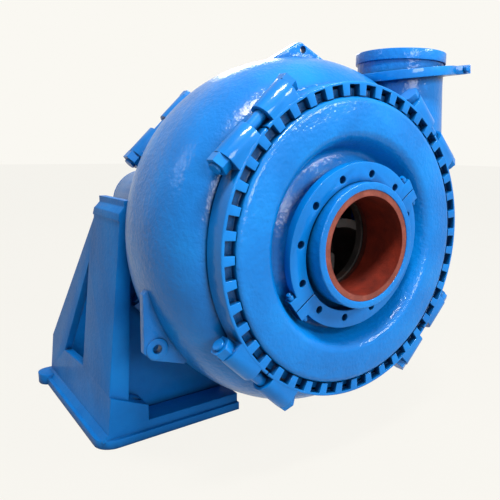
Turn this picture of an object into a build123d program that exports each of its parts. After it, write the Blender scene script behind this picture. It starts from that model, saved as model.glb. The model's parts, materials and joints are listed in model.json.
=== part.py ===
"""Slurry pump, 10 inch suction by 8 inch discharge, on its own pedestal. Millimetres.

X is across the pump, Y runs along the shaft from suction to drive, Z is up.
The origin is the middle of the base bolt pattern on the floor face.
"""
from build123d import *
from math import cos, radians, sin, sqrt
import os

os.makedirs("parts", exist_ok=True)

# Driving sizes
shaft_height = 610
wet_end_depth = 553
wall_y = -215
wall_clearance = 7
fit_gap = 0.05
slip_gap = 0.3

# Clamp rings
ring_width = 66
ring_lip = 20
ring_bore = 371
ring_band_bore = 396
ring_outside = 405
slot_count = 44
slot_width = 33
joint_gap = 5
boss_radius = 32.5
boss_centre = 412
boss_start = 24
boss_end = 114
clamp_bolt_radius = 15
clamp_bolt_height = 420
nut_across = 46
nut_height = 24
clamp_bolt_tail = 7

# Flanges clamped by the rings
flange_radius = 390
cover_rim = ring_bore - 2
flange_thick = 13
flange_front = ring_lip
flange_split = flange_front + flange_thick
flange_back = flange_split + flange_thick
rear_flange_back = wet_end_depth - flange_front
rear_flange_split = rear_flange_back - flange_thick
rear_flange_front = rear_flange_split - flange_thick

# Casing
bowl_radius = 487
bowl_neck = 348
bowl_bore = 322
bowl_shoulder = 385
bowl_clearance = 6
bowl_front = ring_width + bowl_clearance
bowl_crown_front = 0.443 * wet_end_depth
bowl_crown_back = 0.5154 * wet_end_depth
bowl_back = wet_end_depth - ring_width - 17
bowl_wall = 29
discharge_x = bowl_radius - 93
discharge_s = 0.434 * wet_end_depth
discharge_top = bowl_radius + 50
discharge_bore = 101.6
collar_radius = 141.5
collar_thick = 31
discharge_neck = 135
neck_waist = discharge_top - 97
neck_flare = 5
neck_blend_top = bowl_radius - 187
lug_thick = 22
lug_front = bowl_crown_front - 7
top_lug_hole = (-2, bowl_radius + 22)
low_lug_hole = (29 - bowl_radius, -255)

# Suction side
suction_bore = 127
liner_thick = 16
suction_neck_bore = suction_bore + liner_thick + 0.5
suction_neck_outside = 162.5
suction_face = -38
cover_back = 96
bush_thick = 24.8
bush_radius = 254

# Rotor
eye_radius = 130
impeller_radius = 266
impeller_front = cover_back + bush_thick + 2.7
impeller_back = wet_end_depth - 221
impeller_nose = impeller_back - 122
blind_depth = 92
shroud_thick = 22
vane_count = 4
hub_radius = 70
hub_back = impeller_back + 40
shaft_seat = 50
sleeve_radius = 70
bearing_seat = 60
shaft_middle = 72
shaft_extension = 230
extension_radius = 47.5

# Back of the wet end
plate_front = wet_end_depth - 169.5
plate_back = plate_front + 26.5
wall_front_s = wet_end_depth + wall_clearance
ring_front_y = wall_y - wall_front_s
box_bore = 80
box_outside = 111.6
box_flange = 150
packing_width = 15
gland_stud_radius = 8
gland_stud_circle = 130
gland_thick = 22
gland_travel = 15
gland_face = wall_front_s + 6
gland_stud_end = wall_front_s + 62
sleeve_end = wall_front_s + 46

# Bearing assembly
housing_radius = 144
housing_front = wall_front_s + 85
housing_length = 755
housing_back = housing_front + housing_length
shaft_end = housing_back + shaft_extension
race_bore = 120
bearing_width = 60
front_bearing = housing_front + 70
rear_bearing = housing_back - 105
roller_radius = 12
roller_count = 18
inner_race_outside = 78
cover_thick = 18
shim_thick = 2
cover_bolt_circle = 132
cover_bolt_radius = 6
cover_bolt_count = 8

# Pedestal
base_half_x = 552
base_half_y = 330
base_thick = 25
base_corner = 55
foot_fillet = 16
ear_height = 36
pad_front = -318
pad_back = -232
hole_x = 420
hole_y = 272
base_hole = 14
pillar_front = -305
pillar_back = -85
pillar_top = shaft_height + 97
cap_inset = 9
cap_foot = pillar_top - 55
side_at_top = 447
side_lean = 0.1124
inner_at_top = 418
inner_lean = 0.062
side_wall = 24
pad_height = 110
wall_thick = 30
wall_opening = 180
rear_wall_y = 310
rear_wall_thick = 24
cradle_half = 195
cradle_top = shaft_height - 12
cradle_bottom = shaft_height - 180
bay_top = shaft_height - 110
bay_foot = 154
rear_knee = 166
rear_shoulder = 390
rear_shoulder_top = shaft_height - 265
front_strip_height = 52
plate_stud_circle = 260
plate_stud_radius = 12

# Loose flanges
loose_outside = 220
loose_bore = 172
loose_thick = 24
loose_hole_circle = 191
loose_hole = 10
loose_holes = 12
loose_split = 37.5
loose_s = 13
loose_drop = 7
loose_tilt = 5
top_flange_outside = 174
top_flange_bore = 142
top_flange_thick = 26
top_flange_holes = 8
top_flange_hole = 10
top_flange_circle = 158
top_flange_split = -39
top_flange_tilt = 7.5
top_flange_z = discharge_top - 63

race_outside = race_bore - fit_gap
roller_pitch = inner_race_outside + slip_gap + roller_radius
slot_inner = ring_bore - 10
slot_outer = ring_band_bore + 1.5
outer_race_bore = roller_pitch + roller_radius + slip_gap
pump_axis = Axis((0, 0, shaft_height), (0, 1, 0))
half_section = Plane(origin=(0, ring_front_y, shaft_height), x_dir=(0, 1, 0), z_dir=(1, 0, 0))


def cross_plane(s, height=shaft_height):
    return Plane(origin=(0, ring_front_y + s, height), x_dir=(1, 0, 0), z_dir=(0, -1, 0))


def turn(points, mode=Mode.ADD):
    with BuildSketch(half_section) as section:
        with BuildLine():
            Polyline(*points, close=True)
        make_face()
    revolve(section.sketch, axis=pump_axis, mode=mode)


def ring(start, end, inner, outer, mode=Mode.ADD):
    turn([(start, inner), (end, inner), (end, outer), (start, outer)], mode)


def rod(start, end, radius, places, mode=Mode.ADD):
    with BuildSketch(cross_plane(end)) as section:
        with Locations(*places):
            Circle(radius)
    extrude(section.sketch, amount=end - start, mode=mode)


def hex_row(start, end, across, places, mode=Mode.ADD):
    with BuildSketch(cross_plane(end)) as section:
        with Locations(*places):
            RegularPolygon(across / sqrt(3), 6)
    extrude(section.sketch, amount=end - start, mode=mode)


def around(radius, angles):
    return [(radius * cos(radians(a)), radius * sin(radians(a))) for a in angles]


def plate(points, plane, amount, mode=Mode.ADD):
    with BuildSketch(plane) as section:
        with BuildLine():
            Polyline(*points, close=True)
        make_face()
    extrude(section.sketch, amount=amount, mode=mode)


def save(solid, label):
    solid.label = label
    export_step(solid, f"parts/{label}.step")


# One quarter of a clamp ring, built round the +X side
def tangent_plane(angle, distance):
    out = (cos(radians(angle)), 0, sin(radians(angle)))
    along = (-sin(radians(angle)), 0, cos(radians(angle)))
    origin = (distance * along[0], ring_front_y, shaft_height + distance * along[2])
    return Plane(origin=origin, x_dir=(0, 1, 0), z_dir=along), out


def joint_sketch(angle, distance):
    # local x is along the shaft, local y is radial, up or down with the plane
    plane, out = tangent_plane(angle, distance)
    flip = 1 if plane.y_dir.dot(Vector(*out)) > 0 else -1
    return plane, flip


with BuildPart() as clamp_segment:
    turn([(0, ring_bore), (ring_lip, ring_bore), (ring_lip, ring_band_bore),
          (ring_width - ring_lip, ring_band_bore), (ring_width - ring_lip, ring_bore),
          (ring_width, ring_bore), (ring_width, ring_outside - 2),
          (ring_width - 2, ring_outside), (2, ring_outside), (0, ring_outside - 2)])
    for joint_angle, side in ((45, -1), (-45, 1)):
        start_plane, up = joint_sketch(joint_angle, side * boss_start)
        with BuildSketch(start_plane) as boss_shape:
            with Locations((ring_width / 2, up * boss_centre)):
                Circle(boss_radius)
            with Locations((ring_width / 2, up * (boss_centre + 381) / 2)):
                Rectangle(2 * boss_radius, boss_centre - 381)
        extrude(boss_shape.sketch, amount=side * (boss_end - boss_start))
    ring(ring_lip, ring_width - ring_lip, 300, ring_band_bore, Mode.SUBTRACT)
    ring(-1, ring_width + 1, 300, ring_bore, Mode.SUBTRACT)
    with BuildSketch(cross_plane(ring_lip)) as slots:
        with PolarLocations((slot_inner + slot_outer) / 2, slot_count // 4 + 1, -45, 90, endpoint=True):
            Rectangle(slot_outer - slot_inner, slot_width)
    extrude(slots.sketch, amount=ring_lip, mode=Mode.SUBTRACT)
    for joint_angle, side in ((45, -1), (-45, 1)):
        start_plane, up = joint_sketch(joint_angle, 0)
        with BuildSketch(start_plane) as bolt_hole:
            with Locations((ring_width / 2, up * clamp_bolt_height)):
                Circle(clamp_bolt_radius + 1)
        extrude(bolt_hole.sketch, amount=side * (boss_end + 1), mode=Mode.SUBTRACT)
    with BuildSketch(cross_plane(ring_width + 1)) as quarter:
        with BuildLine():
            Polyline((joint_gap / sqrt(2), 0), (900, 900 - joint_gap / sqrt(2)),
                     (900, -900 + joint_gap / sqrt(2)), close=True)
        make_face()
    extrude(quarter.sketch, amount=ring_width + 2, mode=Mode.INTERSECT)

rear_mirror = Plane(origin=(0, ring_front_y + wet_end_depth / 2, 0), z_dir=(0, 1, 0))
for index in range(4):
    front_segment = clamp_segment.part.rotate(pump_axis, -90 * index)
    save(front_segment, f"front_clamp_segment_{index + 1}")
    save(front_segment.mirror(rear_mirror), f"rear_clamp_segment_{index + 1}")

# Tangential clamp bolts and nuts of both rings
with BuildPart() as clamp_bolts:
    for face_s in (ring_width / 2, wet_end_depth - ring_width / 2):
        for joint_angle in (45, 135, 225, 315):
            nut_side = 1 if joint_angle in (135, 315) else -1
            start_plane, up = joint_sketch(joint_angle, nut_side * (boss_end + nut_height + clamp_bolt_tail))
            with BuildSketch(start_plane) as shank:
                with Locations((face_s, up * clamp_bolt_height)):
                    Circle(clamp_bolt_radius)
            extrude(shank.sketch, amount=-nut_side * (2 * boss_end + nut_height + clamp_bolt_tail + 8))
            head_plane, up = joint_sketch(joint_angle, -nut_side * boss_end)
            with BuildSketch(head_plane) as head:
                with Locations((face_s, up * clamp_bolt_height)):
                    RegularPolygon(nut_across / sqrt(3), 6)
            extrude(head.sketch, amount=-nut_side * 19)
save(clamp_bolts.part, "clamp_bolts")

with BuildPart() as clamp_nuts:
    for face_s in (ring_width / 2, wet_end_depth - ring_width / 2):
        for joint_angle in (45, 135, 225, 315):
            nut_side = 1 if joint_angle in (135, 315) else -1
            start_plane, up = joint_sketch(joint_angle, nut_side * boss_end)
            with BuildSketch(start_plane) as nut:
                with Locations((face_s, up * clamp_bolt_height)):
                    RegularPolygon(nut_across / sqrt(3), 6)
                    Circle(clamp_bolt_radius + fit_gap, mode=Mode.SUBTRACT)
            extrude(nut.sketch, amount=nut_side * nut_height)
save(clamp_nuts.part, "clamp_nuts")


# Casing
def ellipse_points(start, middle, low, high, steps=14):
    return [(middle - (middle - start) * cos(radians(90 * k / steps)),
             low + (high - low) * sin(radians(90 * k / steps))) for k in range(steps + 1)]


outer_front = ellipse_points(bowl_front, bowl_crown_front, bowl_shoulder, bowl_radius)
outer_back = ellipse_points(bowl_back, bowl_crown_back, bowl_shoulder, bowl_radius)[::-1]
inner_front = ellipse_points(bowl_front + bowl_wall, bowl_crown_front, bowl_shoulder - bowl_wall - 4,
                             bowl_radius - bowl_wall)
inner_back = ellipse_points(bowl_back - bowl_wall, bowl_crown_back, bowl_shoulder - bowl_wall - 4,
                            bowl_radius - bowl_wall)[::-1]
discharge_y = ring_front_y + discharge_s
neck_top_z = shaft_height + discharge_top
neck_foot = Plane(origin=(372, discharge_y, shaft_height - 10), z_dir=(0, 0, 1))
neck_blend = Plane(origin=(discharge_x, discharge_y, shaft_height + neck_blend_top), z_dir=(0, 0, 1))
neck_middle = Plane(origin=(discharge_x, discharge_y, shaft_height + neck_waist), z_dir=(0, 0, 1))

with BuildPart() as casing:
    turn([(flange_split, bowl_bore), (flange_split, flange_radius), (flange_back, flange_radius),
          (flange_back, bowl_neck), (bowl_front, bowl_neck), *outer_front, *outer_back,
          (bowl_back, bowl_neck), (rear_flange_front, bowl_neck), (rear_flange_front, flange_radius),
          (rear_flange_split, flange_radius), (rear_flange_split, bowl_bore)])
    with BuildSketch(neck_middle):
        Circle(discharge_neck)
    extrude(amount=discharge_top - neck_waist)
    with BuildSketch(neck_blend):
        Circle(discharge_neck + neck_flare)
    with BuildSketch(neck_middle):
        Circle(discharge_neck)
    loft()
    with BuildSketch(neck_foot):
        Ellipse(112, 104)
    with BuildSketch(neck_blend):
        Circle(discharge_neck + neck_flare)
    loft()
    with BuildSketch(Plane(origin=(discharge_x, discharge_y, neck_top_z - collar_thick))):
        Circle(collar_radius)
    extrude(amount=collar_thick)
    # lifting lug on top
    plate([(-110, bowl_radius - 17), (-110, bowl_radius - 13), (-20, bowl_radius + 40),
           (-6, bowl_radius + 40), (89, bowl_radius - 5), (89, bowl_radius - 17)],
          cross_plane(lug_front + lug_thick), lug_thick)
    # lug low on the left
    plate([(19 - bowl_radius, -92), (-bowl_radius, -112), (-bowl_radius - 4, -262), (15 - bowl_radius, -283),
           (102 - bowl_radius, -312), (127 - bowl_radius, -296)],
          cross_plane(lug_front + lug_thick), lug_thick)
    rod(lug_front - 5, lug_front + lug_thick, 28, [low_lug_hole])
    turn([(flange_split - 1, 0), (flange_split - 1, bowl_bore), (bowl_front + bowl_wall, bowl_bore),
          *inner_front, *inner_back, (bowl_back - bowl_wall, bowl_bore),
          (rear_flange_split + 1, bowl_bore), (rear_flange_split + 1, 0)], Mode.SUBTRACT)
    with BuildSketch(neck_blend):
        Circle(discharge_bore)
    extrude(amount=discharge_top - neck_blend_top, mode=Mode.SUBTRACT)
    with BuildSketch(neck_foot):
        Ellipse(84, 78)
    with BuildSketch(neck_blend):
        Circle(discharge_bore)
    loft(mode=Mode.SUBTRACT)
    rod(lug_front - 10, lug_front + lug_thick + 10, 10, [top_lug_hole], Mode.SUBTRACT)
    rod(lug_front - 10, lug_front + lug_thick + 10, 12, [low_lug_hole], Mode.SUBTRACT)
save(casing.part, "casing")

# Suction cover, throat bush and seals
with BuildPart() as suction_cover:
    turn([(flange_front, flange_radius), (flange_split, flange_radius), (flange_split, bowl_bore - 0.5),
          (flange_split + 12, bowl_bore - 0.5), (flange_split + 12, 300), (22, 300), (22, 292),
          (30, 287), (71, 268), (88, 262), (cover_back, 252), (cover_back, suction_neck_bore),
          (suction_face, suction_neck_bore), (suction_face, suction_neck_outside - 2),
          (suction_face + 2, suction_neck_outside), (33, suction_neck_outside), (36, 166),
          (42, 180), (50, 197), (60, 215), (66, 227), (68, 234), (66, 241), (62, 245), (20, 262),
          (8, 268), (0, 275), (-5, 284), (-6, 290), (-6, cover_rim - 15), (-4, cover_rim - 7),
          (0, cover_rim - 2), (4, cover_rim), (flange_front, cover_rim)])
    ring(flange_split + 3, flange_split + 9, 312, bowl_bore, Mode.SUBTRACT)
save(suction_cover.part, "suction_cover")

with BuildPart() as front_casing_seal:
    ring(flange_split + 3.1, flange_split + 8.9, 312.1, bowl_bore - fit_gap)
save(front_casing_seal.part, "front_casing_seal")

bush_front = cover_back + 0.2
with BuildPart() as throat_bush:
    turn([(suction_face + 2, suction_bore), (suction_face + 2, suction_bore + liner_thick),
          (bush_front, suction_bore + liner_thick), (bush_front, bush_radius - 4),
          (bush_front + 4, bush_radius), (cover_back + bush_thick, bush_radius),
          (cover_back + bush_thick, eye_radius + 6), (cover_back, suction_bore)])
    ring(bush_front - 1, bush_front + 5.8, 200, 210, Mode.SUBTRACT)
save(throat_bush.part, "throat_bush")

with BuildPart() as throat_bush_seal:
    ring(bush_front, bush_front + 5.7, 200.2, 209.8)
save(throat_bush_seal.part, "throat_bush_seal")

# Frame plate with its liner, studs and nuts
with BuildPart() as frame_plate:
    turn([(plate_front, box_outside + 0.4), (plate_front, bowl_bore - 0.5),
          (rear_flange_split, bowl_bore - 0.5), (rear_flange_split, flange_radius),
          (rear_flange_back, flange_radius), (rear_flange_back, 294), (plate_back, 294),
          (plate_back, 232), (wall_front_s - 26, 232), (wall_front_s - 26, 286), (wall_front_s, 286),
          (wall_front_s, 200), (plate_back + 8, 200), (plate_back, 190),
          (plate_back, box_outside + 0.4)])
    ring(rear_flange_split - 9, rear_flange_split - 3, 312, bowl_bore, Mode.SUBTRACT)
    rod(wall_front_s - 27, wall_front_s + 1, plate_stud_radius + 1,
        around(plate_stud_circle, [15 - 42 * k for k in range(6)]), Mode.SUBTRACT)
save(frame_plate.part, "frame_plate")

with BuildPart() as rear_casing_seal:
    ring(rear_flange_split - 8.9, rear_flange_split - 3.1, 312.1, bowl_bore - fit_gap)
save(rear_casing_seal.part, "rear_casing_seal")

with BuildPart() as back_liner:
    turn([(plate_front - 25.5, 95), (plate_front - 25.5, 300), (plate_front - 14, 316),
          (plate_front - 0.2, 316), (plate_front - 0.2, 95)])
save(back_liner.part, "back_liner")

stud_places = around(plate_stud_circle, [15 - 42 * k for k in range(6)])
wall_back_s = wall_front_s + wall_thick
with BuildPart() as frame_plate_studs:
    rod(wall_front_s - 52, wall_back_s + 26, plate_stud_radius, stud_places)
save(frame_plate_studs.part, "frame_plate_studs")

with BuildPart() as frame_plate_nuts:
    for nut_start in (wall_front_s - 26 - 20, wall_back_s + 1):
        hex_row(nut_start, nut_start + 19, 36, stud_places)
    rod(wall_front_s - 60, wall_back_s + 30, plate_stud_radius + fit_gap, stud_places, Mode.SUBTRACT)
save(frame_plate_nuts.part, "frame_plate_nuts")

# Stuffing box, packing and gland
gland_stud_places = around(gland_stud_circle, [0, 180])
box_flange_back = wall_front_s
with BuildPart() as stuffing_box:
    turn([(plate_front, sleeve_radius + 4), (plate_front, box_outside), (plate_back, box_outside),
          (plate_back, 125), (plate_back + 14, 125), (plate_back + 14, 106),
          (box_flange_back - 24, 106), (box_flange_back - 24, box_flange),
          (box_flange_back, box_flange), (box_flange_back, box_bore), (plate_front + 18, box_bore),
          (plate_front + 18, sleeve_radius + 4)])
    rod(box_flange_back - 25, box_flange_back + 1, gland_stud_radius + fit_gap, gland_stud_places,
        Mode.SUBTRACT)
    with Locations((0, ring_front_y + plate_back + 42, shaft_height + 95)):
        Cylinder(6, 60, mode=Mode.SUBTRACT)
save(stuffing_box.part, "stuffing_box")

packing_start = plate_front + 18.5
lantern_start = packing_start + 2 * packing_width + 1
lantern_end = lantern_start + 34
with BuildPart() as packing_rings:
    for first in (packing_start, packing_start + packing_width, lantern_end + 0.5,
                  lantern_end + 0.5 + packing_width, lantern_end + 0.5 + 2 * packing_width):
        ring(first, first + packing_width - 0.4, sleeve_radius + slip_gap, box_bore - fit_gap)
save(packing_rings.part, "packing_rings")

with BuildPart() as lantern_ring:
    ring(lantern_start, lantern_end, sleeve_radius + 0.6, box_bore - 0.2)
    ring(lantern_start + 8, lantern_end - 8, box_bore - 3, box_bore + 1, Mode.SUBTRACT)
save(lantern_ring.part, "lantern_ring")

with BuildPart() as gland_studs:
    rod(box_flange_back - 24, gland_stud_end, gland_stud_radius, gland_stud_places)
save(gland_studs.part, "gland_studs")

gland_nose = lantern_end + 3 * packing_width + 4
gland_back = gland_face + gland_thick


def gland_half(side):
    with BuildPart() as half:
        turn([(gland_nose, sleeve_radius + 1), (gland_nose, box_bore - slip_gap),
              (gland_face, box_bore - slip_gap), (gland_face, 105), (gland_back, 105),
              (gland_back, sleeve_radius + 1)])
        with BuildSketch(cross_plane(gland_back)) as ear:
            Rectangle(2 * gland_stud_circle + 44, 44)
            Circle(sleeve_radius + 10, mode=Mode.SUBTRACT)
        extrude(ear.sketch, amount=gland_thick)
        rod(gland_face - 1, gland_back + 1, gland_stud_radius + 1, gland_stud_places, Mode.SUBTRACT)
        with BuildSketch(cross_plane(gland_back + 1)) as keep:
            with Locations((0, side * 110.2)):
                Rectangle(330, 220)
        extrude(keep.sketch, amount=gland_back - gland_nose + 4, mode=Mode.INTERSECT)
    return half.part


save(gland_half(1), "gland_upper")
save(gland_half(-1), "gland_lower")

with BuildPart() as gland_nuts:
    hex_row(gland_back + 0.1, gland_back + 14, 28, gland_stud_places)
    rod(gland_back - 5, gland_back + 20, gland_stud_radius + slip_gap, gland_stud_places, Mode.SUBTRACT)
save(gland_nuts.part, "gland_nuts")

# Impeller and what turns with it
with BuildPart() as impeller:
    ring(impeller_front, impeller_front + shroud_thick, eye_radius, impeller_radius)
    ring(impeller_back - shroud_thick, impeller_back, shaft_seat, impeller_radius)
    turn([(impeller_nose, 0), (impeller_nose + 12, 34), (impeller_back - shroud_thick, hub_radius + 26),
          (impeller_back, hub_radius),
          (hub_back, hub_radius), (hub_back, shaft_seat - 5 + fit_gap),
          (impeller_back - blind_depth, shaft_seat - 5 + fit_gap), (impeller_back - blind_depth, 0)])
    with BuildSketch(cross_plane(impeller_back - shroud_thick + 1)) as vanes:
        for index in range(vane_count):
            with Locations(Location((0, 0), 360 / vane_count * index)):
                with BuildLine(mode=Mode.PRIVATE) as vane_line:
                    ThreePointArc((60, 34), (178, -18), (172, -184))
                SlotArc(vane_line.edge(), 24)
    extrude(vanes.sketch, amount=impeller_back - impeller_front - 2 * shroud_thick + 2)
    with BuildSketch(cross_plane(impeller_back + 8)) as ribs:
        with PolarLocations(175, 6):
            Rectangle(150, 14)
    extrude(ribs.sketch, amount=9)
    ring(impeller_back - blind_depth, impeller_back + 1, 0, shaft_seat - 5 + fit_gap, Mode.SUBTRACT)
save(impeller.part, "impeller")

with BuildPart() as impeller_seal:
    ring(hub_back, hub_back + 4, shaft_seat + fit_gap, sleeve_radius - 4)
save(impeller_seal.part, "impeller_seal")

sleeve_start = hub_back + 4
with BuildPart() as shaft_sleeve:
    ring(sleeve_start, sleeve_end, shaft_seat + fit_gap, sleeve_radius)
save(shaft_sleeve.part, "shaft_sleeve")

front_seat_start = front_bearing - bearing_width / 2
front_seat_end = front_bearing + bearing_width / 2
rear_seat_start = rear_bearing - bearing_width / 2
rear_seat_end = rear_bearing + bearing_width / 2
key_start = shaft_end - 150
rear_cover_back = housing_back + shim_thick + cover_thick
labyrinth_end = rear_cover_back + 8
shaft_start = impeller_back - blind_depth + 4
with BuildPart() as shaft:
    turn([(shaft_start, 0), (shaft_start, shaft_seat - 8), (shaft_start + 3, shaft_seat - 5),
          (hub_back, shaft_seat - 5),
          (hub_back, shaft_seat), (front_seat_start - 40, shaft_seat), (front_seat_start - 40, bearing_seat),
          (front_seat_end, bearing_seat), (front_seat_end, shaft_middle), (rear_seat_start, shaft_middle),
          (rear_seat_start, bearing_seat), (rear_seat_end + 22, bearing_seat), (rear_seat_end + 22, 55),
          (housing_back - 20, 55), (housing_back - 20, shaft_seat), (labyrinth_end, shaft_seat),
          (labyrinth_end, extension_radius), (shaft_end - 3, extension_radius),
          (shaft_end, extension_radius - 3), (shaft_end, 0)])
    with Locations((0, ring_front_y + key_start + 70, shaft_height + extension_radius)):
        Box(28, 140, 20, mode=Mode.SUBTRACT)
save(shaft.part, "shaft")

with BuildPart() as drive_key:
    with Locations((0, ring_front_y + key_start + 70, shaft_height + extension_radius - 2)):
        Box(28, 140, 16)
save(drive_key.part, "drive_key")

front_cover_face = housing_front - cover_thick
with BuildPart() as front_labyrinth:
    ring(sleeve_end + 4, front_seat_start - 40, shaft_seat + fit_gap, 74)
save(front_labyrinth.part, "front_labyrinth")

with BuildPart() as rear_labyrinth:
    ring(housing_back - 10, labyrinth_end, shaft_seat + fit_gap, 74)
save(rear_labyrinth.part, "rear_labyrinth")

with BuildPart() as bearing_locknut:
    ring(rear_seat_end, rear_seat_end + 20, bearing_seat + fit_gap, 84)
    with BuildSketch(cross_plane(rear_seat_end + 20)) as spanner_slots:
        with PolarLocations(84, 4):
            Rectangle(14, 12)
    extrude(spanner_slots.sketch, amount=20, mode=Mode.SUBTRACT)
save(bearing_locknut.part, "bearing_locknut")

for bearing_name, middle in (("front", front_bearing), ("rear", rear_bearing)):
    start = middle - bearing_width / 2
    end = middle + bearing_width / 2
    with BuildPart() as inner_race:
        ring(start, end, bearing_seat + fit_gap, inner_race_outside)
    save(inner_race.part, f"{bearing_name}_inner_race")
    with BuildPart() as outer_race:
        ring(start, end, outer_race_bore, race_outside)
    save(outer_race.part, f"{bearing_name}_outer_race")
    with BuildPart() as roller_set:
        rod(start + 3, end - 3, roller_radius,
            around(roller_pitch, [360 / roller_count * k for k in range(roller_count)]))
        ring(start + 3, start + 8, roller_pitch - 7, roller_pitch + 7)
        ring(end - 8, end - 3, roller_pitch - 7, roller_pitch + 7)
    save(roller_set.part, f"{bearing_name}_roller_set")

# Bearing housing and covers
wing_y = (-70, 215)
wing_x = (housing_radius + cradle_half) / 2
wing_slot = 32
bolt_places = around(cover_bolt_circle,
                     [360 / cover_bolt_count * (k + 0.5) for k in range(cover_bolt_count)])
lug_y = 90
with BuildPart() as bearing_housing:
    ring(housing_front, housing_back, 0, housing_radius)
    for y in wing_y:
        with Locations((0, y, cradle_top + slip_gap + 12)):
            Box(2 * (cradle_half + 20), 90, 24)
    with Locations((0, lug_y, shaft_height - housing_radius - 10)):
        Box(36, 24, 60)
    turn([(housing_front - 1, 0), (housing_front - 1, race_bore), (front_seat_end, race_bore),
          (front_seat_end, 108), (rear_seat_start, 108), (rear_seat_start, race_bore),
          (housing_back + 1, race_bore), (housing_back + 1, 0)], Mode.SUBTRACT)
    rod(housing_front - 1, housing_front + 26, cover_bolt_radius + fit_gap, bolt_places, Mode.SUBTRACT)
    rod(housing_back - 26, housing_back + 1, cover_bolt_radius + fit_gap, bolt_places, Mode.SUBTRACT)
    for y in wing_y:
        with BuildSketch(Plane.XY.offset(cradle_top - 5)) as slot_pair:
            with Locations((-wing_x, y), (wing_x, y)):
                SlotOverall(22 + wing_slot, 22, rotation=90)
        extrude(slot_pair.sketch, amount=60, mode=Mode.SUBTRACT)
    with BuildSketch(cross_plane(lug_y + 20 - ring_front_y, 0)) as screw_hole:
        with Locations((0, shaft_height - housing_radius - 22)):
            Circle(13)
    extrude(screw_hole.sketch, amount=40, mode=Mode.SUBTRACT)
    for y in (front_bearing + ring_front_y, rear_bearing + ring_front_y):
        with Locations((0, y, shaft_height + housing_radius - 10)):
            Cylinder(5 + fit_gap, 60, mode=Mode.SUBTRACT)
save(bearing_housing.part, "bearing_housing")

with BuildPart() as front_bearing_cover:
    turn([(front_cover_face, 75.5), (front_cover_face, housing_radius - 3),
          (front_cover_face + 3, housing_radius), (housing_front, housing_radius),
          (housing_front, race_bore - 0.4), (front_seat_start, race_bore - 0.4),
          (front_seat_start, outer_race_bore - 2), (housing_front + 2, outer_race_bore - 2),
          (housing_front + 2, 75.5)])
    rod(front_cover_face - 1, housing_front + 1, cover_bolt_radius + 0.5, bolt_places, Mode.SUBTRACT)
save(front_bearing_cover.part, "front_bearing_cover")

rear_cover_face = housing_back + shim_thick
with BuildPart() as rear_bearing_cover:
    turn([(rear_cover_back, 75.5), (rear_cover_back, housing_radius - 3),
          (rear_cover_back - 3, housing_radius), (rear_cover_face, housing_radius),
          (rear_cover_face, race_bore - 0.4), (rear_seat_end, race_bore - 0.4),
          (rear_seat_end, outer_race_bore - 2), (rear_cover_face - 2, outer_race_bore - 2),
          (rear_cover_face - 2, 75.5)])
    rod(rear_cover_face - 1, rear_cover_back + 1, cover_bolt_radius + 0.5, bolt_places, Mode.SUBTRACT)
save(rear_bearing_cover.part, "rear_bearing_cover")

with BuildPart() as cover_shims:
    ring(housing_back, rear_cover_face, race_bore, housing_radius)
    rod(housing_back - 1, rear_cover_face + 1, cover_bolt_radius + 0.5, bolt_places, Mode.SUBTRACT)
save(cover_shims.part, "cover_shims")

with BuildPart() as cover_bolts:
    rod(front_cover_face, housing_front + 25, cover_bolt_radius, bolt_places)
    hex_row(front_cover_face - 8, front_cover_face, 18, bolt_places)
    rod(housing_back - 25, rear_cover_back, cover_bolt_radius, bolt_places)
    hex_row(rear_cover_back, rear_cover_back + 8, 18, bolt_places)
save(cover_bolts.part, "cover_bolts")

with BuildPart() as grease_nipples:
    for y in (front_bearing + ring_front_y, rear_bearing + ring_front_y):
        with Locations((0, y, shaft_height + housing_radius - 12)):
            Cylinder(5, 24, align=(Align.CENTER, Align.CENTER, Align.MIN))
        with Locations((0, y, shaft_height + housing_radius + 0.2)):
            Cylinder(7, 6, align=(Align.CENTER, Align.CENTER, Align.MIN))
save(grease_nipples.part, "grease_nipples")

screw_z = shaft_height - housing_radius - 22
with BuildPart() as adjusting_screw:
    with BuildSketch(cross_plane(rear_wall_y + 20 - ring_front_y, 0)) as thread:
        with Locations((0, screw_z)):
            Circle(12)
    extrude(thread.sketch, amount=rear_wall_y + 20 - lug_y + 60)
save(adjusting_screw.part, "adjusting_screw")

with BuildPart() as adjusting_nuts:
    for end_y in (lug_y + 12 + 19, lug_y - 12.1):
        with BuildSketch(cross_plane(end_y - ring_front_y, 0)) as nut:
            with Locations((0, screw_z)):
                RegularPolygon(36 / sqrt(3), 6)
                Circle(12 + slip_gap, mode=Mode.SUBTRACT)
        extrude(nut.sketch, amount=18.9)
save(adjusting_nuts.part, "adjusting_nuts")


# Pedestal
def outer_x(z):
    return side_at_top + side_lean * (pillar_top - z)


def inner_x(z):
    return inner_at_top + inner_lean * (pillar_top - z)


through = 2 * (base_half_x + 50)
side_view = Plane(origin=(-through / 2, 0, 0), x_dir=(0, 1, 0), z_dir=(1, 0, 0))


def front_view(y):
    return Plane(origin=(0, y, 0), x_dir=(1, 0, 0), z_dir=(0, -1, 0))


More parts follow.
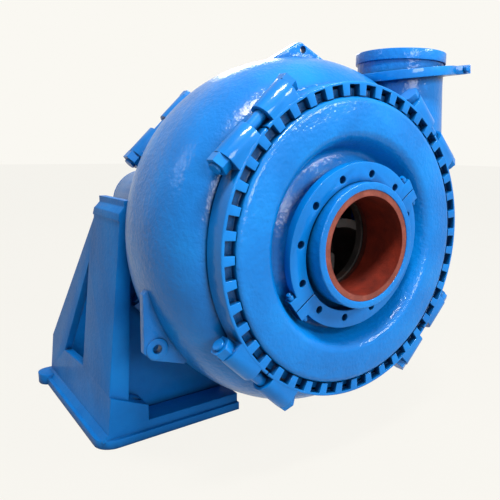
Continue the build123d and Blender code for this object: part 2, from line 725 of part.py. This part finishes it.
opening_end = gland_back + gland_travel + 8
with BuildPart() as side_frames:
    for side in (-1, 1):
        plate([(side * inner_x(10), 10), (side * outer_x(10), 10),
               (side * outer_x(cap_foot - 4), cap_foot - 4), (side * (outer_x(cap_foot) + 3), cap_foot),
               (side * (outer_x(cap_foot + 20) + 3), cap_foot + 20),
               (side * (outer_x(pillar_top) - cap_inset), cap_foot + 38),
               (side * (outer_x(pillar_top) - cap_inset), pillar_top),
               (side * inner_x(pillar_top), pillar_top)],
              front_view(rear_wall_y), rear_wall_y - pillar_front)
    plate([(pillar_front, 10), (pillar_front, pillar_top), (pillar_back - 12, pillar_top),
           (pillar_back - 12, cap_foot + 28), (pillar_back, cap_foot + 3), (pillar_back, cap_foot - 12),
           (rear_wall_y, rear_knee), (rear_wall_y, 10)], side_view, through, Mode.INTERSECT)
    for side in (-1, 1):
        plate([(side * (outer_x(30) - side_wall), 30), (side * 300, 30), (side * 300, pillar_top + 93),
               (side * (outer_x(pillar_top + 93) - side_wall), pillar_top + 93)],
              front_view(rear_wall_y - rear_wall_thick), rear_wall_y - rear_wall_thick - pillar_back - 25,
              Mode.SUBTRACT)
    plate([(pillar_back + 23, bay_top), (151, bay_foot), (-57, bay_foot + 10)], side_view, through,
          Mode.SUBTRACT)

with BuildPart() as pedestal:
    with BuildSketch():
        RectangleRounded(2 * base_half_x, 2 * base_half_y, base_corner)
        with Locations((0, 35)):
            Rectangle(2 * 372, 2 * 215, mode=Mode.SUBTRACT)
        Rectangle(2 * 95, 2 * base_half_y + 2, mode=Mode.SUBTRACT)
    extrude(amount=base_thick)
    add(side_frames.part)
    # front pads and rear corner bosses round the foundation bolts
    for side in (-1, 1):
        plate([(side * 400, 1), (side * outer_x(1), 1), (side * outer_x(pad_height + 40), pad_height + 40),
               (side * 400, pad_height - 10)], front_view(pad_back), pad_back - pad_front)
        foot_x = outer_x(base_thick)
        plate([(side * (foot_x - 20), base_thick - 5), (side * (foot_x + foot_fillet), base_thick - 5),
               (side * (foot_x + foot_fillet), base_thick), (side * foot_x, base_thick + foot_fillet),
               (side * (foot_x - 20), base_thick + foot_fillet)], front_view(rear_wall_y),
              rear_wall_y - pad_front)
        plate([(side * 90, 1), (side * 405, 1), (side * 405, front_strip_height),
               (side * 90, front_strip_height)], front_view(pad_back), pad_back - pad_front)
    with BuildSketch(Plane.XY) as rear_bosses:
        for side in (-1, 1):
            with Locations((side * (380 + base_half_x + 20) / 2, 287)):
                RectangleRounded(base_half_x + 20 - 380, 86, 38)
    extrude(rear_bosses.sketch, amount=ear_height)
    # front wall with the round opening behind the casing
    plate([(-inner_x(25) - 10, 10), (inner_x(25) + 10, 10), (inner_at_top + 10, pillar_top - 17),
           (-inner_at_top - 10, pillar_top - 17)], front_view(wall_y + wall_thick), wall_thick)
    # rear wall
    plate([(-outer_x(20) + 10, 10), (outer_x(20) - 10, 10), (outer_x(rear_knee) - 10, rear_knee - 6),
           (rear_shoulder, rear_shoulder_top), (cradle_half, cradle_bottom + 40),
           (cradle_half, cradle_top), (-cradle_half, cradle_top), (-cradle_half, cradle_bottom + 40),
           (-rear_shoulder, rear_shoulder_top), (-outer_x(rear_knee) + 10, rear_knee - 6)],
          front_view(rear_wall_y), rear_wall_thick)
    # cradle for the bearing housing
    with Locations((0, (wall_y + rear_wall_y) / 2, (cradle_top + cradle_bottom) / 2)):
        Box(2 * cradle_half, rear_wall_y - wall_y, cradle_top - cradle_bottom)
    turn([(wall_front_s - 1, 0), (wall_front_s - 1, wall_opening), (opening_end, wall_opening),
          (opening_end, housing_radius + slip_gap), (housing_back, housing_radius + slip_gap),
          (housing_back, 0)],
         Mode.SUBTRACT)
    # room under the housing between the two saddles
    with Locations((0, 60, (cradle_top + cradle_bottom) / 2)):
        Box(2 * cradle_half - 50, 170, cradle_top - cradle_bottom + 2, mode=Mode.SUBTRACT)
    # arch between the feet
    plate([(-95, -1), (95, -1), (95, 90), (60, 130), (-60, 130), (-95, 90)], front_view(400), 800,
          Mode.SUBTRACT)
    rod(wall_front_s - 1, wall_back_s + 1, plate_stud_radius + 1, stud_places, Mode.SUBTRACT)
    with BuildSketch(Plane.XY.offset(-1)) as base_holes:
        with GridLocations(2 * hole_x, 2 * hole_y, 2, 2):
            Circle(base_hole)
    extrude(base_holes.sketch, amount=pad_height + 60, mode=Mode.SUBTRACT)
    with BuildSketch(Plane.XY.offset(cradle_top - 50)) as rail_holes:
        for y in wing_y:
            with Locations((-wing_x, y), (wing_x, y)):
                Circle(8 + fit_gap)
    extrude(rail_holes.sketch, amount=60, mode=Mode.SUBTRACT)
    with BuildSketch(cross_plane(rear_wall_y + 1 - ring_front_y, 0)) as screw_bore:
        with Locations((0, screw_z)):
            Circle(12 + fit_gap)
    extrude(screw_bore.sketch, amount=200, mode=Mode.SUBTRACT)
save(pedestal.part, "pedestal")

with BuildPart() as housing_clamp_bolts:
    with BuildSketch(Plane.XY.offset(cradle_top - 45)) as clamp_shanks:
        for y in wing_y:
            with Locations((-wing_x, y), (wing_x, y)):
                Circle(8)
    extrude(clamp_shanks.sketch, amount=80)
    head_z = cradle_top + slip_gap + 24 + slip_gap
    with BuildSketch(Plane.XY.offset(head_z)) as clamp_heads:
        for y in wing_y:
            with Locations((-wing_x, y), (wing_x, y)):
                Circle(17)
    extrude(clamp_heads.sketch, amount=4)
    with BuildSketch(Plane.XY.offset(head_z + 4)) as hex_heads:
        for y in wing_y:
            with Locations((-wing_x, y), (wing_x, y)):
                RegularPolygon(24 / sqrt(3), 6)
    extrude(hex_heads.sketch, amount=12)
save(housing_clamp_bolts.part, "housing_clamp_bolts")


# Loose split flanges
def split_flange(plane, outside, bore, thick, circle, hole, count, first, split, side, ear_out):
    with BuildPart() as half:
        with BuildSketch(plane) as shape:
            Circle(outside)
            with Locations(Location((0, 0), split)):
                with Locations((outside - 10, 0), (-outside + 10, 0)):
                    Rectangle(2 * (ear_out - outside) + 20, 66)
            Circle(bore, mode=Mode.SUBTRACT)
            with PolarLocations(circle, count, first):
                Circle(hole, mode=Mode.SUBTRACT)
        extrude(shape.sketch, amount=thick / 2, both=True)
        with BuildSketch(plane) as keep:
            with Locations(Location((0, 0), split)):
                with Locations((0, side * 201.5)):
                    Rectangle(700, 400)
        extrude(keep.sketch, amount=thick, both=True, mode=Mode.INTERSECT)
        with Locations(plane):
            with Locations(Location((0, 0, 0), (0, 0, split))):
                with Locations(Location((ear_out - 13, 0, 0), (90, 0, 0)),
                               Location((-ear_out + 13, 0, 0), (90, 0, 0))):
                    Cylinder(7, 120, mode=Mode.SUBTRACT)
    return half.part


def split_bolts(plane, split, ear_out):
    with BuildPart() as bolts:
        with Locations(plane):
            with Locations(Location((0, 0, 0), (0, 0, split))):
                with Locations(Location((ear_out - 13, 0, 0), (90, 0, 0)),
                               Location((-ear_out + 13, 0, 0), (90, 0, 0))):
                    Cylinder(6, 98)
                    with Locations((0, 0, 38.1)):
                        Cylinder(9, 10)
                    with Locations((0, 0, -38.1)):
                        Cylinder(9, 10)
    return bolts.part


loose_ears = loose_outside + 20
top_flange_ears = top_flange_outside + 42
suction_flange_axis = (0, -cos(radians(loose_tilt)), -sin(radians(loose_tilt)))
suction_flange_plane = Plane(origin=(0, ring_front_y + loose_s, shaft_height - loose_drop),
                             x_dir=(1, 0, 0), z_dir=suction_flange_axis)
for side, name in ((1, "suction_flange_upper"), (-1, "suction_flange_lower")):
    save(split_flange(suction_flange_plane, loose_outside, loose_bore, loose_thick, loose_hole_circle,
                      loose_hole, loose_holes, loose_split + 15, loose_split, side, loose_ears), name)
save(split_bolts(suction_flange_plane, loose_split, loose_ears), "suction_flange_bolts")

discharge_flange_plane = Plane(origin=(discharge_x, discharge_y, shaft_height + top_flange_z),
                               x_dir=(cos(radians(top_flange_tilt)), 0, sin(radians(top_flange_tilt))),
                               z_dir=(-sin(radians(top_flange_tilt)), 0, cos(radians(top_flange_tilt))))
for side, name in ((1, "discharge_flange_right"), (-1, "discharge_flange_left")):
    save(split_flange(discharge_flange_plane, top_flange_outside, top_flange_bore, top_flange_thick,
                      top_flange_circle, top_flange_hole, top_flange_holes, top_flange_split + 22.5,
                      top_flange_split, side, top_flange_ears), name)
save(split_bolts(discharge_flange_plane, top_flange_split, top_flange_ears), "discharge_flange_bolts")
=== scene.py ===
import bpy
import bmesh
import json
import math
from mathutils import Matrix, Vector


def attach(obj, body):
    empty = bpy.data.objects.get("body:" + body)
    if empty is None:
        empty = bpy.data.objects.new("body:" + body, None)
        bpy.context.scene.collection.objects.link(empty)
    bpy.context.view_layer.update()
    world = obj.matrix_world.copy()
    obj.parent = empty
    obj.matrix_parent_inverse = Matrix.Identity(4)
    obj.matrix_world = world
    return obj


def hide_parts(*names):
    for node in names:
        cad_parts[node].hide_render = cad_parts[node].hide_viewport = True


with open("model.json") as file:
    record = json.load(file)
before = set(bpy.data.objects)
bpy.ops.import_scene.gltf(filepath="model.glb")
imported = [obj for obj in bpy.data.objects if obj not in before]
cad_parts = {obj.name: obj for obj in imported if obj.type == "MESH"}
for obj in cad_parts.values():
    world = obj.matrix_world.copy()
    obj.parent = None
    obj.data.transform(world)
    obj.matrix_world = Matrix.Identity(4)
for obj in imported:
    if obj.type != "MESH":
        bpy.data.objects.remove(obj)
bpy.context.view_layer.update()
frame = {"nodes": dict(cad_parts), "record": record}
nodes = frame["nodes"]
print("frame loaded:", len(nodes), "nodes")


# colours and node helper
def linear(hexCode):
    parts = [int(hexCode[i:i + 2], 16) / 255 for i in (1, 3, 5)]
    return tuple(c / 12.92 if c <= 0.04045 else ((c + 0.055) / 1.055) ** 2.4 for c in parts) + (1.0,)


def addNode(tree, kind, settings=None, links=None):
    node = tree.nodes.new(kind)
    for name, value in (settings or {}).items():
        if isinstance(name, int) or name in node.inputs:
            node.inputs[name].default_value = value
        else:
            setattr(node, name, value)
    for name, source in (links or {}).items():
        tree.links.new(source, node.inputs[name])
    return node


def newMaterial(name):
    material = bpy.data.materials.new(name)
    material.use_nodes = True
    tree = material.node_tree
    tree.nodes.clear()
    place = addNode(tree, "ShaderNodeTexCoord").outputs["Object"]
    return material, tree, place


# a ramp starts with two stops, so the outer two come first and the rest are added
def rampStops(ramp, stops):
    elements = ramp.color_ramp.elements
    for element, (position, hexCode) in zip(elements, stops):
        element.position, element.color = position, linear(hexCode)
    for position, hexCode in stops[2:]:
        elements.new(position).color = linear(hexCode)


def finishMaterial(tree, shader):
    addNode(tree, "ShaderNodeOutputMaterial", {}, {"Surface": shader.outputs[0]})


# gloss alkyd enamel sprayed on sand-cast iron: deep blue, wet looking, a soft orange peel over sand grain, with
# painted shade darkening the crevices
enamelLook = {
    "tint": ((0.34, "#0064ae"), (0.66, "#0273c0"), (0.5, "#006bb8")), "creviceShadeColour": "#012c55",
    "creviceMm": 35.0, "creviceFrom": 0.25, "creviceTo": 0.85,
    "roughness": 0.42, "smoother": 0.06, "rougher": 0.08,
    "specular": 0.1, "coatRoughness": 0.06, "coatWeight": 0.35, "brokenGloss": False,
    "grainMm": 6.0, "peelMm": 18.0, "swellMm": 150.0, "edgeMm": 3.0,
    "grainBump": 0.10, "grainDepth": 0.002, "peelBump": 0.10, "peelDepth": 0.006,
}


def makeEnamel(name, look):
    material, tree, place = newMaterial(name)
    swell = addNode(tree, "ShaderNodeTexNoise", {"Scale": 1000 / look["swellMm"], "Detail": 3.0},
                    {"Vector": place})
    tint = addNode(tree, "ShaderNodeValToRGB", {}, {"Fac": swell.outputs["Fac"]})
    rampStops(tint, look["tint"])
    # painted shade: ambient occlusion within creviceMm blends the blue towards dark navy in crevices, recesses
    # and gaps between parts
    nearby = addNode(tree, "ShaderNodeAmbientOcclusion",
                     {"samples": 8, "Distance": look["creviceMm"] / 1000})
    clear = addNode(tree, "ShaderNodeMapRange",
                    {"From Min": look["creviceFrom"], "From Max": look["creviceTo"]},
                    {"Value": nearby.outputs["AO"]})
    creviceShadedTint = addNode(tree, "ShaderNodeMix", {"data_type": "RGBA"},
                     {0: clear.outputs["Result"], 7: tint.outputs["Color"]})
    creviceShadedTint.inputs[6].default_value = linear(look["creviceShadeColour"])
    grain = addNode(tree, "ShaderNodeTexNoise",
                    {"Scale": 1000 / look["grainMm"], "Detail": 4.0, "Roughness": 0.6}, {"Vector": place})
    peel = addNode(tree, "ShaderNodeTexNoise", {"Scale": 1000 / look["peelMm"], "Detail": 2.0},
                   {"Vector": place})
    edge = addNode(tree, "ShaderNodeBevel", {"samples": 6, "Radius": look["edgeMm"] / 1000})
    low = addNode(tree, "ShaderNodeBump", {"Strength": look["peelBump"], "Distance": look["peelDepth"]},
                  {"Height": peel.outputs["Fac"], "Normal": edge.outputs["Normal"]})
    high = addNode(tree, "ShaderNodeBump", {"Strength": look["grainBump"], "Distance": look["grainDepth"]},
                   {"Height": grain.outputs["Fac"], "Normal": low.outputs["Normal"]})
    gloss = addNode(tree, "ShaderNodeMapRange",
                    {"From Min": 0.3, "From Max": 0.7, "To Min": look["roughness"] - look["smoother"],
                     "To Max": look["roughness"] + look["rougher"]}, {"Value": grain.outputs["Fac"]})
    coatSkin = high if look["brokenGloss"] else low
    shader = addNode(tree, "ShaderNodeBsdfPrincipled",
                     {"IOR": 1.5, "Metallic": 0.0, "Specular IOR Level": look["specular"],
                      "Coat Weight": look["coatWeight"], "Coat Roughness": look["coatRoughness"]},
                     {"Base Color": creviceShadedTint.outputs[2], "Roughness": gloss.outputs["Result"],
                      "Normal": high.outputs["Normal"], "Coat Normal": coatSkin.outputs["Normal"]})
    finishMaterial(tree, shader)
    return material


# iron oxide primer brushed on the cast liner: chalky red on the lip, a darker, deeper red inside the bore that
# is partly the primer's own red and partly painted shade
linerLook = {
    "lip": ((0.3, "#5c2a21"), (0.72, "#8a4a3d"), (0.5, "#74392e")),
    "bore": ((0.3, "#4c140a"), (0.7, "#742212")),
    "boreRadius": 0.127, "axisHeight": 0.61, "lipStart": 0.0004, "lipFull": 0.002,
    "cloudMm": 45.0, "brushMm": 6.0, "edgeMm": 2.0, "brushBump": 0.25, "brushDepth": 0.002,
    "roughness": 0.6, "specular": 0.3,
}


def makePrimedIron(name, look):
    material, tree, place = newMaterial(name)
    cloud = addNode(tree, "ShaderNodeTexNoise",
                    {"Scale": 1000 / look["cloudMm"], "Detail": 5.0, "Roughness": 0.65}, {"Vector": place})
    lip = addNode(tree, "ShaderNodeValToRGB", {}, {"Fac": cloud.outputs["Fac"]})
    rampStops(lip, look["lip"])
    # the bore ramp is darker than the lip ramp: painted shade inside the bore over the primer's deeper red
    bore = addNode(tree, "ShaderNodeValToRGB", {}, {"Fac": cloud.outputs["Fac"]})
    rampStops(bore, look["bore"])
    fromAxis = addNode(tree, "ShaderNodeVectorMath",
                       {"operation": "SUBTRACT", 1: (0, 0, look["axisHeight"])}, {0: place})
    flattened = addNode(tree, "ShaderNodeVectorMath", {"operation": "MULTIPLY", 1: (1, 0, 1)},
                        {0: fromAxis.outputs["Vector"]})
    radius = addNode(tree, "ShaderNodeVectorMath", {"operation": "LENGTH"},
                     {0: flattened.outputs["Vector"]})
    onLip = addNode(tree, "ShaderNodeMapRange",
                    {"From Min": look["boreRadius"] + look["lipStart"],
                     "From Max": look["boreRadius"] + look["lipFull"]}, {"Value": radius.outputs["Value"]})
    # inside the bore radius the darker, painted-shade red is used, on the lip face the lighter red
    tint = addNode(tree, "ShaderNodeMix", {"data_type": "RGBA"},
                   {0: onLip.outputs["Result"], 6: bore.outputs["Color"], 7: lip.outputs["Color"]})
    grain = addNode(tree, "ShaderNodeTexNoise", {"Scale": 1000 / look["brushMm"], "Detail": 4.0},
                    {"Vector": place})
    edge = addNode(tree, "ShaderNodeBevel", {"samples": 6, "Radius": look["edgeMm"] / 1000})
    bump = addNode(tree, "ShaderNodeBump", {"Strength": look["brushBump"], "Distance": look["brushDepth"]},
                   {"Height": grain.outputs["Fac"], "Normal": edge.outputs["Normal"]})
    shader = addNode(tree, "ShaderNodeBsdfPrincipled",
                     {"IOR": 1.5, "Roughness": look["roughness"], "Specular IOR Level": look["specular"]},
                     {"Base Color": tint.outputs[2], "Normal": bump.outputs["Normal"]})
    finishMaterial(tree, shader)
    return material


# chrome white iron as cast: dark grey with a rusty bloom, rough sand skin
castIronLook = {
    "tint": ((0.35, "#353434"), (0.75, "#5a3d30"), (0.55, "#484544")),
    "cloudMm": 60.0, "sandMm": 3.0, "sandBump": 0.4, "sandDepth": 0.001, "metallic": 0.55, "roughness": 0.55,
}


def makeCastIron(name, look):
    material, tree, place = newMaterial(name)
    cloud = addNode(tree, "ShaderNodeTexNoise",
                    {"Scale": 1000 / look["cloudMm"], "Detail": 6.0, "Roughness": 0.6}, {"Vector": place})
    tint = addNode(tree, "ShaderNodeValToRGB", {}, {"Fac": cloud.outputs["Fac"]})
    rampStops(tint, look["tint"])
    grain = addNode(tree, "ShaderNodeTexNoise", {"Scale": 1000 / look["sandMm"], "Detail": 5.0},
                    {"Vector": place})
    bump = addNode(tree, "ShaderNodeBump", {"Strength": look["sandBump"], "Distance": look["sandDepth"]},
                   {"Height": grain.outputs["Fac"]})
    shader = addNode(tree, "ShaderNodeBsdfPrincipled",
                     {"Metallic": look["metallic"], "Roughness": look["roughness"]},
                     {"Base Color": tint.outputs["Color"], "Normal": bump.outputs["Normal"]})
    finishMaterial(tree, shader)
    return material


# lathe-turned carbon steel: fine rings along the shaft, oiled grey; a wave texture repeats 20 times per unit
turnedLook = {
    "tint": ((0.3, "#9a9da1"), (0.7, "#c3c6c9")), "cutMm": 2.0, "waveRepeat": 20, "cloudMm": 30.0,
    "edgeMm": 1.0, "cutBump": 0.06, "cutDepth": 0.0005, "smoothest": 0.24, "roughest": 0.38,
}


def makeTurnedSteel(name, look):
    material, tree, place = newMaterial(name)
    cut = addNode(tree, "ShaderNodeTexWave",
                  {"wave_type": "BANDS", "bands_direction": "Y",
                   "Scale": 1000 / (look["cutMm"] * look["waveRepeat"]), "Distortion": 0.6, "Detail": 2.0},
                  {"Vector": place})
    cloud = addNode(tree, "ShaderNodeTexNoise", {"Scale": 1000 / look["cloudMm"], "Detail": 4.0},
                    {"Vector": place})
    tint = addNode(tree, "ShaderNodeValToRGB", {}, {"Fac": cloud.outputs["Fac"]})
    rampStops(tint, look["tint"])
    edge = addNode(tree, "ShaderNodeBevel", {"samples": 4, "Radius": look["edgeMm"] / 1000})
    bump = addNode(tree, "ShaderNodeBump", {"Strength": look["cutBump"], "Distance": look["cutDepth"]},
                   {"Height": cut.outputs["Fac"], "Normal": edge.outputs["Normal"]})
    rough = addNode(tree, "ShaderNodeMapRange", {"To Min": look["smoothest"], "To Max": look["roughest"]},
                    {"Value": cloud.outputs["Fac"]})
    shader = addNode(tree, "ShaderNodeBsdfPrincipled", {"Metallic": 1.0},
                     {"Base Color": tint.outputs["Color"], "Roughness": rough.outputs["Result"],
                      "Normal": bump.outputs["Normal"]})
    finishMaterial(tree, shader)
    return material


# cast leaded brass: warm yellow, slightly tarnished
brassLook = {
    "tint": ((0.3, "#8d6b32"), (0.7, "#cfa659")), "cloudMm": 12.0, "smoothest": 0.28, "roughest": 0.5,
}


def makeBrass(name, look):
    material, tree, place = newMaterial(name)
    cloud = addNode(tree, "ShaderNodeTexNoise", {"Scale": 1000 / look["cloudMm"], "Detail": 5.0},
                    {"Vector": place})
    tint = addNode(tree, "ShaderNodeValToRGB", {}, {"Fac": cloud.outputs["Fac"]})
    rampStops(tint, look["tint"])
    rough = addNode(tree, "ShaderNodeMapRange", {"To Min": look["smoothest"], "To Max": look["roughest"]},
                    {"Value": cloud.outputs["Fac"]})
    shader = addNode(tree, "ShaderNodeBsdfPrincipled", {"Metallic": 1.0},
                     {"Base Color": tint.outputs["Color"], "Roughness": rough.outputs["Result"]})
    finishMaterial(tree, shader)
    return material


# plaited graphite packing: dark, diagonal braid
packingLook = {
    "tint": ((0.2, "#1c1c1b"), (0.8, "#3c3b38")), "strandMm": 4.0, "waveRepeat": 20,
    "strandBump": 0.6, "strandDepth": 0.001, "roughness": 0.7,
}


def makePacking(name, look):
    material, tree, place = newMaterial(name)
    braid = addNode(tree, "ShaderNodeTexWave",
                    {"wave_type": "BANDS", "bands_direction": "DIAGONAL",
                     "Scale": 1000 / (look["strandMm"] * look["waveRepeat"]), "Distortion": 1.5},
                    {"Vector": place})
    tint = addNode(tree, "ShaderNodeValToRGB", {}, {"Fac": braid.outputs["Fac"]})
    rampStops(tint, look["tint"])
    bump = addNode(tree, "ShaderNodeBump",
                   {"Strength": look["strandBump"], "Distance": look["strandDepth"]},
                   {"Height": braid.outputs["Fac"]})
    shader = addNode(tree, "ShaderNodeBsdfPrincipled", {"IOR": 1.5, "Roughness": look["roughness"]},
                     {"Base Color": tint.outputs["Color"], "Normal": bump.outputs["Normal"]})
    finishMaterial(tree, shader)
    return material


# moulded nitrile rubber: near black, faint bloom
rubberLook = {"tint": ((0.3, "#161616"), (0.7, "#262625")), "cloudMm": 10.0, "roughness": 0.6}


def makeRubber(name, look):
    material, tree, place = newMaterial(name)
    cloud = addNode(tree, "ShaderNodeTexNoise", {"Scale": 1000 / look["cloudMm"], "Detail": 3.0},
                    {"Vector": place})
    tint = addNode(tree, "ShaderNodeValToRGB", {}, {"Fac": cloud.outputs["Fac"]})
    rampStops(tint, look["tint"])
    shader = addNode(tree, "ShaderNodeBsdfPrincipled", {"IOR": 1.5, "Roughness": look["roughness"]},
                     {"Base Color": tint.outputs["Color"]})
    finishMaterial(tree, shader)
    return material


# the bowl and cover keep a coarser casting skin, the pedestal is dusty and dull
roughLook = dict(enamelLook, grainMm=9.0, coatWeight=0.4, brokenGloss=True, grainBump=0.4, peelBump=0.25)
dullLook = dict(enamelLook, roughness=0.58, coatWeight=0.06, specular=0.15, edgeMm=5.0,
                grainBump=0.2, peelBump=0.25)
enamel = makeEnamel("glossBlueEnamel", enamelLook)
roughEnamel = makeEnamel("glossBlueEnamelOnRoughCasting", roughLook)
dullEnamel = makeEnamel("dustyBlueEnamelOnPedestal", dullLook)
slotFinish = {
    "blue_enamel": enamel,
    "liner_red": makePrimedIron("brushedOxidePrimer", linerLook),
    "white_iron": makeCastIron("asCastWhiteIron", castIronLook),
    "machined_steel": makeTurnedSteel("turnedSteel", turnedLook),
    "brass": makeBrass("castBrass", brassLook),
    "packing": makePacking("plaitedGraphitePacking", packingLook),
    "seal_rubber": makeRubber("mouldedNitrileRubber", rubberLook),
}
nodeSlot = {part["node"]: part["material_slot"] for part in frame["record"]["subparts"]}
print("materials made")


def paint(target, material):
    target.data.materials.clear()
    target.data.materials.append(material)


for name, node in nodes.items():
    paint(node, slotFinish[nodeSlot[name]])


# castings get their real rounded edges: a copy of the node with bevelled corners stands in for it
roundedEdges = {"casing": 0.006, "suction_cover": 0.0035, "pedestal": 0.009, "bearing_housing": 0.003}
clampEdge = 0.0025
looseFlangeEdge = 0.002
for index in range(1, 5):
    roundedEdges[f"front_clamp_segment_{index}"] = clampEdge
    roundedEdges[f"rear_clamp_segment_{index}"] = clampEdge
for name in ("suction_flange_upper", "suction_flange_lower", "discharge_flange_left", "discharge_flange_right"):
    roundedEdges[name] = looseFlangeEdge
bevelStyle = {"weldDistance": 0.00002, "flatDegrees": 0.6, "cornerDegrees": 32, "segments": 3}


def roundCasting(name, width, body, material):
    piece = bpy.data.objects.new(name + "_casting", nodes[name].data.copy())
    bpy.context.scene.collection.objects.link(piece)
    mesh = bmesh.new()
    mesh.from_mesh(piece.data)
    bmesh.ops.remove_doubles(mesh, verts=mesh.verts, dist=bevelStyle["weldDistance"])
    bmesh.ops.dissolve_limit(mesh, angle_limit=math.radians(bevelStyle["flatDegrees"]),
                             verts=mesh.verts, edges=mesh.edges)
    mesh.to_mesh(piece.data)
    mesh.free()
    paint(piece, material)
    for polygon in piece.data.polygons:
        polygon.use_smooth = True
    bevel = piece.modifiers.new("cornerRadius", "BEVEL")
    bevel.width = width
    bevel.segments = bevelStyle["segments"]
    bevel.limit_method = "ANGLE"
    bevel.angle_limit = math.radians(bevelStyle["cornerDegrees"])
    bevel.harden_normals = True
    bevel.miter_outer = "MITER_ARC"
    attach(piece, body)
    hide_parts(name)


bodyOf = {name: body for body, names in frame["record"]["behaviour"]["bodies"].items() for name in names}
castingPaint = {"casing": roughEnamel, "suction_cover": roughEnamel, "pedestal": dullEnamel}
for name, width in roundedEdges.items():
    roundCasting(name, width, bodyOf[name], castingPaint.get(name, enamel))
print("castings rounded")


# camera from the photograph: metres and degrees
cameraView = {
    "place": (-0.9713, -1.7728, 0.8464), "azimuth": -38.0, "elevation": 10.88, "roll": 0.585,
    "lens": 39.04, "sensor": 36, "shiftX": -0.1, "shiftY": 0.01,
}
azimuth, elevation, roll = (math.radians(cameraView[key]) for key in ("azimuth", "elevation", "roll"))
back = Vector((math.sin(azimuth) * math.cos(elevation), -math.cos(azimuth) * math.cos(elevation),
               math.sin(elevation)))
right = Vector((0, 0, 1)).cross(back).normalized()
up = back.cross(right)
rightRolled = math.cos(roll) * right + math.sin(roll) * up
upRolled = -math.sin(roll) * right + math.cos(roll) * up
cameraData = bpy.data.cameras.new("photoCamera")
cameraData.lens = cameraView["lens"]
cameraData.sensor_width = cameraView["sensor"]
cameraData.shift_x = cameraView["shiftX"]
cameraData.shift_y = cameraView["shiftY"]
camera = bpy.data.objects.new("photoCamera", cameraData)
turned = Matrix((rightRolled, upRolled, back)).transposed().to_4x4()
camera.matrix_world = Matrix.Translation(cameraView["place"]) @ turned
bpy.context.scene.collection.objects.link(camera)
bpy.context.scene.camera = camera
print("camera placed")


# studio: pale paper floor and a pale world, both brighter to the eye than the light they give
studio = {
    "floor": "#b4b0a8", "floorShade": "#aeaaa2", "floorHalf": 30, "floorRoughness": 0.8,
    "mottleScale": 3.0, "backdrop": "#faf8f2", "paperShare": 0.94,
    "worldStrength": 0.26, "worldTint": "#dfeaf8", "aim": (0, -0.4, 0.55),
}


def viewedRay(tree):
    rays = addNode(tree, "ShaderNodeLightPath")
    mirrored = addNode(tree, "ShaderNodeMath", {"operation": "MAXIMUM"},
                       {0: rays.outputs["Is Glossy Ray"], 1: rays.outputs["Is Transmission Ray"]})
    return addNode(tree, "ShaderNodeMath", {"operation": "MAXIMUM"},
                   {0: rays.outputs["Is Camera Ray"], 1: mirrored.outputs[0]}).outputs[0]


def makeFloorPaper():
    material, tree, place = newMaterial("paleStudioFloor")
    mottle = addNode(tree, "ShaderNodeTexNoise", {"Scale": studio["mottleScale"], "Detail": 2.0},
                     {"Vector": place})
    tint = addNode(tree, "ShaderNodeValToRGB", {}, {"Fac": mottle.outputs["Fac"]})
    rampStops(tint, ((0.3, studio["floorShade"]), (0.7, studio["floor"])))
    shader = addNode(tree, "ShaderNodeBsdfPrincipled", {"Roughness": studio["floorRoughness"]},
                     {"Base Color": tint.outputs["Color"]})
    white = addNode(tree, "ShaderNodeEmission", {"Color": linear(studio["backdrop"]), "Strength": 1.0})
    share = addNode(tree, "ShaderNodeMath", {"operation": "MULTIPLY", 1: studio["paperShare"]},
                    {0: viewedRay(tree)})
    paper = addNode(tree, "ShaderNodeMixShader", {},
                    {0: share.outputs[0], 1: shader.outputs[0], 2: white.outputs[0]})
    finishMaterial(tree, paper)
    return material


half = studio["floorHalf"]
floorMesh = bpy.data.meshes.new("floor")
floorMesh.from_pydata([(-half, -half, 0), (half, -half, 0), (half, half, 0), (-half, half, 0)], [],
                      [(0, 1, 2, 3)])
floor = bpy.data.objects.new("floor", floorMesh)
bpy.context.scene.collection.objects.link(floor)
floor.data.materials.append(makeFloorPaper())

world = bpy.data.worlds.new("studioWorld")
bpy.context.scene.world = world
world.use_nodes = True
worldTree = world.node_tree
worldTree.nodes.clear()
lit = addNode(worldTree, "ShaderNodeBackground",
              {"Color": linear(studio["worldTint"]), "Strength": studio["worldStrength"]})
seen = addNode(worldTree, "ShaderNodeBackground", {"Color": linear(studio["backdrop"]), "Strength": 1.0})
mixed = addNode(worldTree, "ShaderNodeMixShader", {},
                {0: viewedRay(worldTree), 1: lit.outputs[0], 2: seen.outputs[0]})
addNode(worldTree, "ShaderNodeOutputWorld", {}, {"Surface": mixed.outputs[0]})

# soft boxes overhead, in front, at the left and behind
softBoxes = {
    "overheadBox": {"place": (-0.5, -1.7, 3.2), "size": (0.8, 0.5), "watts": 104},
    "leftBox": {"place": (-3.4, 0.6, 3.0), "size": (0.6, 1.0), "watts": 16},
    "frontBox": {"place": (1.6, -3.6, 2.6), "size": (0.9, 0.7), "watts": 80},
    "rearBox": {"place": (2.2, 3.6, 2.8), "size": (1.2, 0.8), "watts": 45},
    "fillBox": {"place": (-0.6, -4.4, 1.7), "size": (1.5, 0.9), "watts": 78},
}
for name, box in softBoxes.items():
    data = bpy.data.lights.new(name, "AREA")
    data.shape = "RECTANGLE"
    data.size, data.size_y = box["size"]
    data.energy = box["watts"]
    lamp = bpy.data.objects.new(name, data)
    lamp.location = box["place"]
    toAim = Vector(studio["aim"]) - Vector(box["place"])
    lamp.rotation_euler = toAim.to_track_quat("-Z", "Y").to_euler()
    bpy.context.scene.collection.objects.link(lamp)
bpy.context.scene.view_settings.view_transform = "Standard"
print("studio lit")
